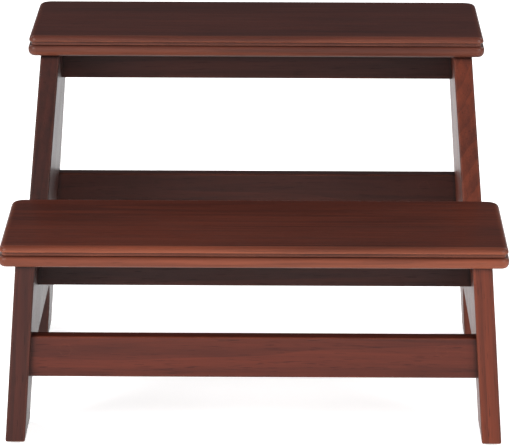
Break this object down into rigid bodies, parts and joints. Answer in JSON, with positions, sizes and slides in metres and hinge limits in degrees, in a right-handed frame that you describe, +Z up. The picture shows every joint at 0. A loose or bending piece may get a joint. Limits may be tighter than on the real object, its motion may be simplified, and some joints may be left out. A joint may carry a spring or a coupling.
{
  "type": "step stool",
  "caption": "Rigid wooden stool with a low front tread and a higher rear tread between two splayed, step-shaped side panels.",
  "frame": {"origin": "on the floor, under the middle of the whole stool", "axes": "+Z up, +X along the treads to the right, -Y the side that a person climbs from"},
  "size_m": [0.437, 0.426, 0.314],
  "materials": {
    "panel_wood": "dark cherry stain under satin varnish, grain up the panel",
    "tread_wood": "dark cherry stain under satin varnish, grain along the tread",
    "rail_wood": "dark cherry stain under satin varnish, grain along the rail",
    "bolt_steel": "antique bronze, satin",
    "nut_steel": "zinc plated",
    "dowel_wood": "bare beech",
    "pad_rubber": "matt black"
  },
  "bodies": {
    "root": {"left_side_panel": "panel_wood", "right_side_panel": "panel_wood", "lower_tread": "tread_wood", "upper_tread": "tread_wood", "lower_apron": "rail_wood", "upper_apron": "rail_wood", "rear_rail": "rail_wood", "front_stretcher": "rail_wood", "rail_bolts": "bolt_steel", "barrel_nuts": "nut_steel", "rail_dowels": "dowel_wood", "tread_dowels": "dowel_wood", "tread_screws": "nut_steel", "foot_pads": "pad_rubber"}
  },
  "joints": []
}
